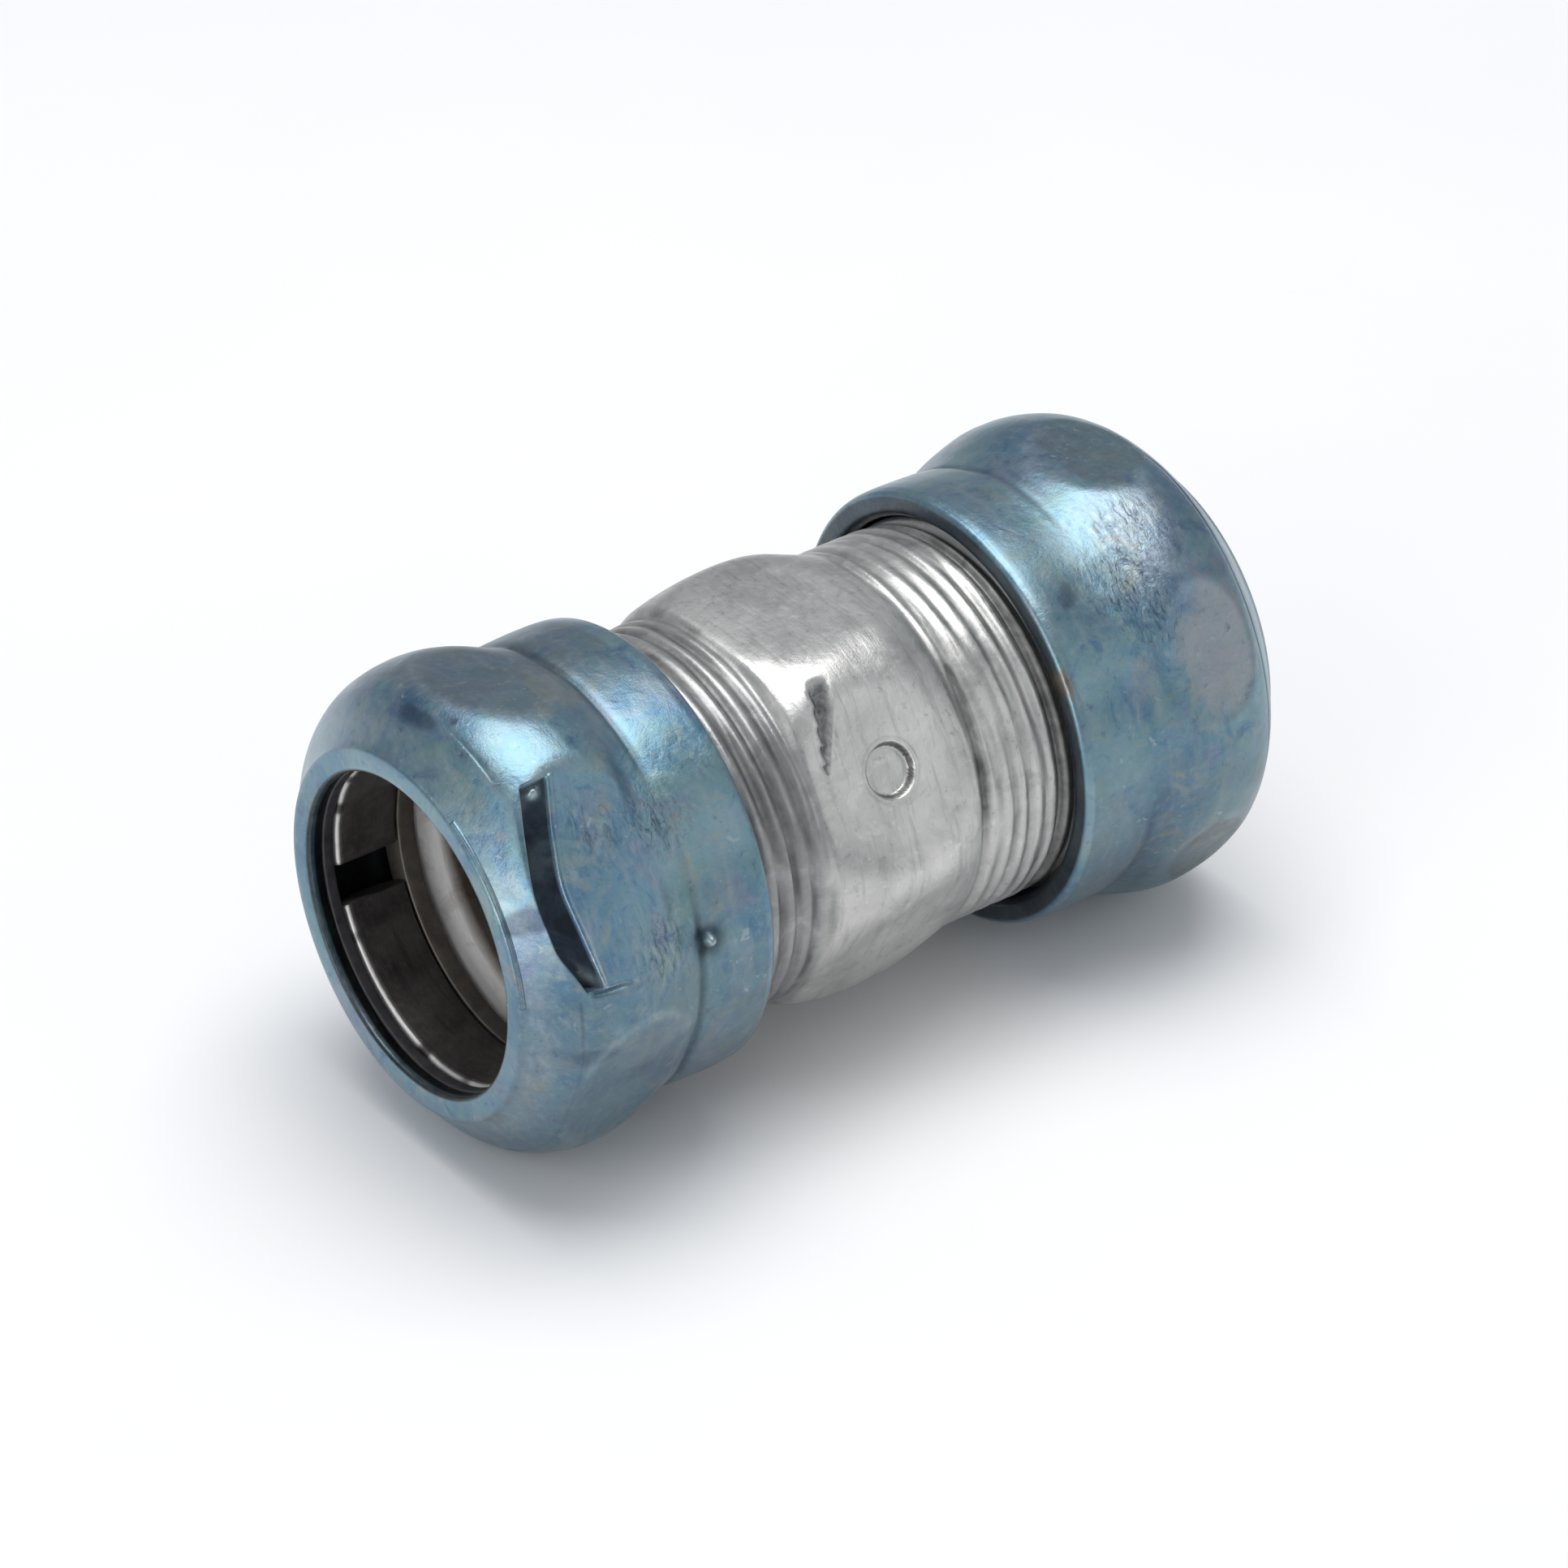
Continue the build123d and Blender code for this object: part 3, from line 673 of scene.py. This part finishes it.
def chromate_material(name, off):
    """Blue chromate over zinc: patchy steel blue, cyan-grey, lilac and straw, scuffed and speckled."""
    m = Nodes(name)
    p = m.scaled(1, 1, 1, off)
    hoop = m.scaled(1.0, 0.22, 0.22, off)
    big = m.noise(p, 105, 4, 0.55, 0.6)
    big2 = m.noise(m.scaled(1, 1, 1, (off[0] + 3, off[1] - 5, off[2] + 1)), 170, 5, 0.62, 1.2)
    mid = m.noise(m.scaled(1, 1, 1, (off[0] - 7, off[1] + 2, off[2] + 4)), 380, 5, 0.62, 1.1)
    mid2 = m.noise(m.scaled(1, 0.6, 0.6, (off[0] + 5, off[1] + 8, off[2] - 4)), 520, 4, 0.6, 1.6)
    fine = m.noise(p, 1700, 5, 0.72)
    flake = m.noise(m.scaled(1, 1, 1, (off[0] + 2, off[1] - 3, off[2] + 6)), 1150, 3, 0.55, 0.6)
    streak = m.noise(hoop, 900, 4, 0.6, 0.4)
    col = m.ramp(big, [(0.3, (0.055, 0.130, 0.215)), (0.42, (0.095, 0.200, 0.290)), (0.52, (0.135, 0.255, 0.33)), (0.62, (0.185, 0.305, 0.35)), (0.74, (0.115, 0.225, 0.31))])
    col = m.mix(m.ramp(big2, [(0.5, 0.0), (0.62, 0.7)]), col, (0.185, 0.235, 0.32))          # lilac
    col = m.mix(m.ramp(big2, [(0.33, 0.6), (0.45, 0.0)]), col, (0.15, 0.27, 0.275))          # sea green
    col = m.mix(m.ramp(mid, [(0.54, 0.0), (0.66, 0.55)]), col, (0.225, 0.315, 0.32))             # green-grey
    col = m.mix(m.ramp(mid, [(0.32, 0.7), (0.44, 0.0)]), col, (0.06, 0.15, 0.27))            # deeper blue
    col = m.mix(m.ramp(mid2, [(0.62, 0.0), (0.70, 0.45)]), col, (0.17, 0.19, 0.33))             # violet flecks
    col = m.mix(m.ramp(mid2, [(0.31, 0.5), (0.39, 0.0)]), col, (0.27, 0.34, 0.35))
    col = m.mix(m.ramp(streak, [(0.52, 0.0), (0.7, 0.4)]), col, (0.29, 0.36, 0.38))
    # flats pressed deeper kept a greyer or a paler film; this tone also carries a painted highlight at the upper near
    # corner and painted shade on the underside and on the right nut's collar
    tone_and_painted_light = m.attr("tone_and_painted_light")
    patchy = m.ramp(mid, [(0.35, 0.65), (0.6, 1.0)])
    col = m.mix(m.math("MULTIPLY", m.ramp(tone_and_painted_light, [(0.0, 0.95), (0.5, 0.0)]), patchy), col, (0.085, 0.110, 0.118))
    col = m.mix(m.math("MULTIPLY", m.ramp(tone_and_painted_light, [(0.5, 0.0), (1.0, 0.85)]), patchy), col, (0.33, 0.335, 0.355))
    # speckle
    col = m.mix(m.ramp(fine, [(0.52, 0.0), (0.75, 0.38)]), col, (0.31, 0.38, 0.40))
    col = m.mix(m.ramp(fine, [(0.26, 0.6), (0.41, 0.0)]), col, (0.045, 0.08, 0.12))
    col = m.mix(m.ramp(flake, [(0.67, 0.0), (0.72, 0.5)]), col, (0.36, 0.43, 0.44))
    # straw and rust tint, in small spots
    spot_n = m.noise(m.scaled(1, 1, 1, (off[0] + 11, off[1] + 9, off[2] - 2)), 430, 3, 0.5, 0.5)
    col = m.mix(m.ramp(spot_n, [(0.66, 0.0), (0.73, 0.36)]), col, (0.32, 0.25, 0.20))
    straw_n = m.noise(m.scaled(1, 1, 1, (off[0] - 4, off[1] - 9, off[2] + 13)), 260, 4, 0.6, 1.0)
    col = m.mix(m.ramp(straw_n, [(0.60, 0.0), (0.67, 0.32)]), col, (0.30, 0.31, 0.24))
    # scuffed places: dark cracked flecks over paler, greener metal
    scuff = m.attr("scuff")
    cracks = m.noise(m.scaled(1.6, 0.7, 0.7, off), 1300, 5, 0.7, 1.5)
    col = m.mix(m.math("MULTIPLY", scuff, m.ramp(cracks, [(0.52, 0.0), (0.62, 0.75)])), col, (0.36, 0.42, 0.40))
    col = m.mix(m.math("MULTIPLY", scuff, m.ramp(cracks, [(0.38, 0.9), (0.47, 0.0)])), col, (0.03, 0.045, 0.06))
    stain = m.attr("stain")
    col = m.mix(m.math("MULTIPLY", stain, m.ramp(mid, [(0.3, 0.95), (0.7, 0.75)])), col, (0.022, 0.040, 0.085))
    # painted shade in the grooves, crease and scribed line; paler on rubbed edges, with painted highlights on the
    # burr, the beads and the front lip
    recess_painted_shade = m.attr("groove")
    col = m.mix(m.math("MULTIPLY", recess_painted_shade, m.ramp(mid, [(0.35, 0.97), (0.62, 0.84)])), col, (0.012, 0.014, 0.022))
    # painted shade on the nut's rear face
    col = m.mix(m.math("MULTIPLY", m.attr("rear_face_painted_shade"), m.ramp(mid, [(0.35, 0.92), (0.65, 0.75)])), col, (0.028, 0.032, 0.042))
    col = m.mix(m.math("MULTIPLY", m.attr("rust"), 0.8), col, (0.24, 0.165, 0.11))
    # painted shade: near black inside the nut
    inside_painted_shade = m.attr("inside_painted_shade")
    col = m.mix(m.math("MULTIPLY", inside_painted_shade, m.ramp(mid, [(0.35, 0.98), (0.65, 0.9)])), col, (0.016, 0.016, 0.017))
    # rubbed edges paler, with painted highlights on the burr, the beads and the front lip
    wear = m.math("MULTIPLY", m.attr("wear_and_highlight"), m.ramp(fine, [(0.3, 0.25), (0.6, 0.7)]), True)
    col = m.mix(wear, col, (0.46, 0.52, 0.53))
    m.link(col, m.bsdf.inputs["Base Color"])
    m.bsdf.inputs["Metallic"].default_value = 0.86
    film = m.math("MULTIPLY", m.math("SUBTRACT", 1.0, recess_painted_shade), m.math("SUBTRACT", 1.0, inside_painted_shade))
    m.link(m.math("MULTIPLY", film, 0.32), m.bsdf.inputs["Coat Weight"])
    m.bsdf.inputs["Coat Roughness"].default_value = 0.28
    m.bsdf.inputs["Coat IOR"].default_value = 1.5
    rough = m.ramp(mid, [(0.3, 0.24), (0.55, 0.33), (0.75, 0.44)])
    rough = m.mixf(m.ramp(fine, [(0.35, 0.0), (0.7, 0.35)]), rough, 0.5)
    rough = m.mixf(recess_painted_shade, rough, 0.6)
    rough = m.mixf(m.math("MULTIPLY", m.ramp(tone_and_painted_light, [(0.0, 0.7), (0.5, 0.0)]), 1.0), rough, 0.5)
    m.link(rough, m.bsdf.inputs["Roughness"])
    h = m.math("ADD", m.math("MULTIPLY", fine, 0.6), m.math("MULTIPLY", mid, 0.9))
    h = m.math("ADD", h, m.math("MULTIPLY", m.math("MULTIPLY", cracks, scuff), 1.6))
    n1 = m.bump(h, 0.00008, 0.6)
    scr = m.noise(m.scaled(1, 6, 1.5, off), 900, 3, 0.6)
    n2 = m.bump(scr, 0.00002, 0.18, n1)
    m.link(n2, m.bsdf.inputs["Normal"])
    return m.mat


def zinc_material(name):
    """Bright zinc plate, satin and mottled, with thread roots and grooves painted darker as shade."""
    m = Nodes(name)
    p = m.pos
    big = m.noise(p, 150, 4, 0.6, 0.5)
    mid = m.noise(m.scaled(1, 1, 1, (3, 1, 2)), 480, 5, 0.65, 0.9)
    fine = m.noise(p, 1900, 5, 0.72)
    hoop = m.noise(m.scaled(1.0, 0.12, 0.12), 1700, 4, 0.65, 0.3)
    col = m.ramp(big, [(0.3, (0.47, 0.47, 0.455)), (0.5, (0.57, 0.57, 0.55)), (0.7, (0.66, 0.655, 0.63))])
    col = m.mix(m.ramp(mid, [(0.34, 0.5), (0.46, 0.0)]), col, (0.40, 0.40, 0.385))
    col = m.mix(m.ramp(mid, [(0.56, 0.0), (0.66, 0.5)]), col, (0.72, 0.715, 0.69))
    col = m.mix(m.ramp(hoop, [(0.32, 0.5), (0.48, 0.0)]), col, (0.33, 0.33, 0.32))
    col = m.mix(m.ramp(fine, [(0.28, 0.55), (0.42, 0.0)]), col, (0.22, 0.22, 0.215))
    col = m.mix(m.ramp(fine, [(0.58, 0.0), (0.72, 0.5)]), col, (0.80, 0.79, 0.77))
    col = m.mix(m.math("MULTIPLY", m.attr("top"), m.ramp(mid, [(0.4, 0.0), (0.6, 0.12)])), col, (0.46, 0.465, 0.47))
    # painted shade on the left threads
    col = m.mix(m.math("MULTIPLY", m.attr("left_thread_painted_shade"), m.ramp(mid, [(0.35, 0.95), (0.65, 0.65)])), col, (0.235, 0.24, 0.245))
    # painted shade in thread roots and grooves
    g = m.attr("groove")
    col = m.mix(m.math("MULTIPLY", g, m.ramp(mid, [(0.35, 0.95), (0.65, 0.6)])), col, (0.10, 0.10, 0.098))
    # painted shade in the three-cornered step and on the dimple's wall
    col = m.mix(m.math("MULTIPLY", m.attr("tri"), m.ramp(fine, [(0.35, 0.92), (0.65, 0.6)])), col, (0.075, 0.078, 0.082))
    col = m.mix(m.math("MULTIPLY", m.attr("pit_wall_painted_shade"), 0.88), col, (0.085, 0.085, 0.085))
    # painted shade: dark brown in the bore
    inside_painted_shade = m.attr("inside_painted_shade")
    col = m.mix(m.math("MULTIPLY", inside_painted_shade, m.ramp(mid, [(0.36, 0.85), (0.6, 0.6)])), col, (0.27, 0.215, 0.165))
    # painted highlight: the mouth bevel near white and barely metallic
    mouth_painted_highlight = m.attr("mouth_painted_highlight")
    col = m.mix(m.math("MULTIPLY", mouth_painted_highlight, m.ramp(mid, [(0.38, 0.7), (0.5, 1.0)])), col, (0.90, 0.885, 0.86))
    m.link(col, m.bsdf.inputs["Base Color"])
    m.link(m.mixf(mouth_painted_highlight, 0.9, 0.2), m.bsdf.inputs["Metallic"])
    rough = m.ramp(big, [(0.3, 0.28), (0.7, 0.40)])
    rough = m.mixf(m.ramp(fine, [(0.35, 0.0), (0.7, 0.4)]), rough, 0.5)
    rough = m.mixf(g, rough, 0.55)
    m.link(rough, m.bsdf.inputs["Roughness"])
    h = m.math("ADD", m.math("MULTIPLY", fine, 0.5), m.math("MULTIPLY", mid, 0.6))
    n1 = m.bump(m.math("ADD", h, m.math("MULTIPLY", hoop, 0.6)), 0.00007, 0.55)
    m.link(n1, m.bsdf.inputs["Normal"])
    return m.mat


def seal_material(name):
    m = Nodes(name)
    n = m.noise(m.pos, 900, 5, 0.6)
    f = m.noise(m.pos, 4200, 3, 0.6)
    m.link(m.ramp(n, [(0.3, (0.022, 0.022, 0.025)), (0.7, (0.055, 0.053, 0.056))]), m.bsdf.inputs["Base Color"])
    m.link(m.ramp(n, [(0.3, 0.42), (0.7, 0.6)]), m.bsdf.inputs["Roughness"])
    m.link(m.bump(f, 0.00004, 0.5), m.bsdf.inputs["Normal"])
    return m.mat


def spring_steel_material(name):
    m = Nodes(name)
    n = m.noise(m.pos, 420, 5, 0.62, 0.5)
    f = m.noise(m.pos, 2600, 4, 0.65)
    hoop = m.noise(m.scaled(1.0, 0.1, 0.1), 2200, 3, 0.6)
    col = m.ramp(n, [(0.3, (0.075, 0.070, 0.069)), (0.55, (0.13, 0.122, 0.118)), (0.75, (0.19, 0.178, 0.17))])
    col = m.mix(m.ramp(f, [(0.5, 0.0), (0.75, 0.4)]), col, (0.22, 0.205, 0.19))
    col = m.mix(m.ramp(hoop, [(0.3, 0.5), (0.45, 0.0)]), col, (0.055, 0.052, 0.05))
    # painted highlight: near white along the inner front edge
    col = m.mix(m.math("MULTIPLY", m.attr("front"), m.ramp(n, [(0.3, 0.75), (0.6, 0.98)])), col, (0.90, 0.88, 0.85))
    m.link(col, m.bsdf.inputs["Base Color"])
    m.bsdf.inputs["Metallic"].default_value = 0.7
    m.link(m.ramp(n, [(0.3, 0.38), (0.7, 0.52)]), m.bsdf.inputs["Roughness"])
    m.link(m.bump(m.math("ADD", f, hoop), 0.00005, 0.5), m.bsdf.inputs["Normal"])
    return m.mat


def washer_material(name):
    m = Nodes(name)
    n = m.noise(m.pos, 500, 5, 0.6, 0.4)
    f = m.noise(m.pos, 3000, 4, 0.65)
    col = m.ramp(n, [(0.3, (0.13, 0.115, 0.105)), (0.6, (0.21, 0.19, 0.17)), (0.8, (0.27, 0.245, 0.22))])
    col = m.mix(m.ramp(f, [(0.25, 0.5), (0.42, 0.0)]), col, (0.07, 0.062, 0.055))
    m.link(col, m.bsdf.inputs["Base Color"])
    m.bsdf.inputs["Metallic"].default_value = 0.6
    m.link(m.ramp(n, [(0.3, 0.4), (0.7, 0.55)]), m.bsdf.inputs["Roughness"])
    m.link(m.bump(f, 0.00005, 0.5), m.bsdf.inputs["Normal"])
    return m.mat


# ------------------------------------------------------------------ the pieces
# each flat: distance from the axis at its front, at its rear, and how softly it meets the dome
LEFT_FLATS = ((13.5, 12.62, 0.35), (12.9, 12.6, 0.35), (12.45, 12.58, 0.35), (13.5, 12.62, 0.35), (12.9, 12.6, 0.35), (12.45, 12.58, 0.3))
RIGHT_FLATS = ((13.4, 13.3, 0.14),) * 6

mat_left = chromate_material("blue_chromate_left", (0.0, 0.0, 0.0))
mat_right = chromate_material("blue_chromate_right", (0.4, 0.7, -0.3))
mat_zinc = zinc_material("zinc_plate")
mat_seal = seal_material("black_elastomer")
mat_ring = spring_steel_material("dark_spring_steel")
mat_washer = washer_material("dull_washer")


def place(obj, node, body, mat):
    obj.data.materials.append(mat)
    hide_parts(node)
    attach(obj, body)


place(make_body("barrel_shell"), "coupling_body", "barrel", mat_zinc)
place(make_nut("left_nut_shell", -1, LEFT_PHASE, LEFT_FLATS, 5, 21, (-0.7, -0.2, 0.25, -0.3, 0.2, 0.3)), "left_gland_nut", "left_nut", mat_left)
place(make_nut("right_nut_shell", 1, RIGHT_PHASE, RIGHT_FLATS, None, 22, (-0.75, 0.4, -0.2, 0.5, -0.4, 0.9)), "right_gland_nut", "right_nut", mat_right)
for word, side in (("left", -1), ("right", 1)):
    place(make_seal(word + "_seal_ring", side), word + "_tube_seal", word + "_rings", mat_seal)
    place(make_ring(word + "_compression_ring", side), word + "_split_ring", word + "_rings", mat_ring)
    place(make_washer(word + "_washer", side), word + "_end_washer", word + "_rings", mat_washer)


# ------------------------------------------------------------------ floor, light and camera
def floor_material():
    m = Nodes("pale_floor")
    n = m.noise(m.pos, 14, 5, 0.6)
    m.link(m.ramp(n, [(0.3, (0.88, 0.88, 0.88)), (0.7, (0.91, 0.91, 0.91))]), m.bsdf.inputs["Base Color"])
    m.bsdf.inputs["Roughness"].default_value = 0.7
    return m.mat


def make_floor(z):
    mesh = bpy.data.meshes.new("studio_floor")
    s, n = 4.0, 16
    verts = [((i / n - 0.5) * 2 * s, (j / n - 0.5) * 2 * s, z) for i in range(n + 1) for j in range(n + 1)]
    faces = [(i * (n + 1) + j, (i + 1) * (n + 1) + j, (i + 1) * (n + 1) + j + 1, i * (n + 1) + j + 1) for i in range(n) for j in range(n)]
    mesh.from_pydata(verts, [], faces)
    obj = bpy.data.objects.new("studio_floor", mesh)
    bpy.context.scene.collection.objects.link(obj)
    obj.data.materials.append(floor_material())
    return obj


def softbox(name, at, look, size, power, color=(1, 1, 1)):
    data = bpy.data.lights.new(name, "AREA")
    data.shape = "RECTANGLE"
    data.size, data.size_y = size
    data.energy = power
    data.color = color
    obj = bpy.data.objects.new(name, data)
    bpy.context.scene.collection.objects.link(obj)
    obj.location = at
    obj.rotation_mode = "QUATERNION"
    obj.rotation_quaternion = (Vector(look) - Vector(at)).to_track_quat("-Z", "Y")
    return obj


vis_lo, vis_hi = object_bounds()
make_floor(min(vis_lo.z, cad_lo.z) - 0.00002)

softbox("overhead_box", (0.03, 0.03, 0.45), (0, 0, 0), (0.40, 0.36), 1.75)
softbox("front_fill", (0.30, -0.55, 0.28), (0, 0, 0), (0.5, 0.3), 0.3)
softbox("left_fill", (-0.54, -0.12, 0.30), (0, 0, 0), (0.4, 0.4), 0.48)
softbox("end_fill", (-0.50, -0.16, 0.06), (-0.018, 0, 0), (0.22, 0.16), 0.46)

world = bpy.data.worlds.new("studio_air")
world.use_nodes = True
world.node_tree.nodes["Background"].inputs[0].default_value = (0.9, 0.93, 1.0, 1)
world.node_tree.nodes["Background"].inputs[1].default_value = 0.42
bpy.context.scene.world = world

scene = bpy.context.scene
scene.view_settings.view_transform = "Standard"
scene.view_settings.look = "None"
scene.view_settings.exposure = 0.0

cam_data = bpy.data.cameras.new("camera")
cam_data.sensor_width = 36.0
cam_data.lens = 151.46
cam_data.clip_start, cam_data.clip_end = 0.01, 20
cam = bpy.data.objects.new("camera", cam_data)
scene.collection.objects.link(cam)
right = Vector((0.796122, -0.605136, -0.000342))
up = Vector((0.336166, 0.441793, 0.831752))
back = Vector((-0.503172, -0.662291, 0.555147))
cam.matrix_world = Matrix(((right.x, up.x, back.x, -0.182647), (right.y, up.y, back.y, -0.239847), (right.z, up.z, back.z, 0.200542), (0, 0, 0, 1)))
scene.camera = cam
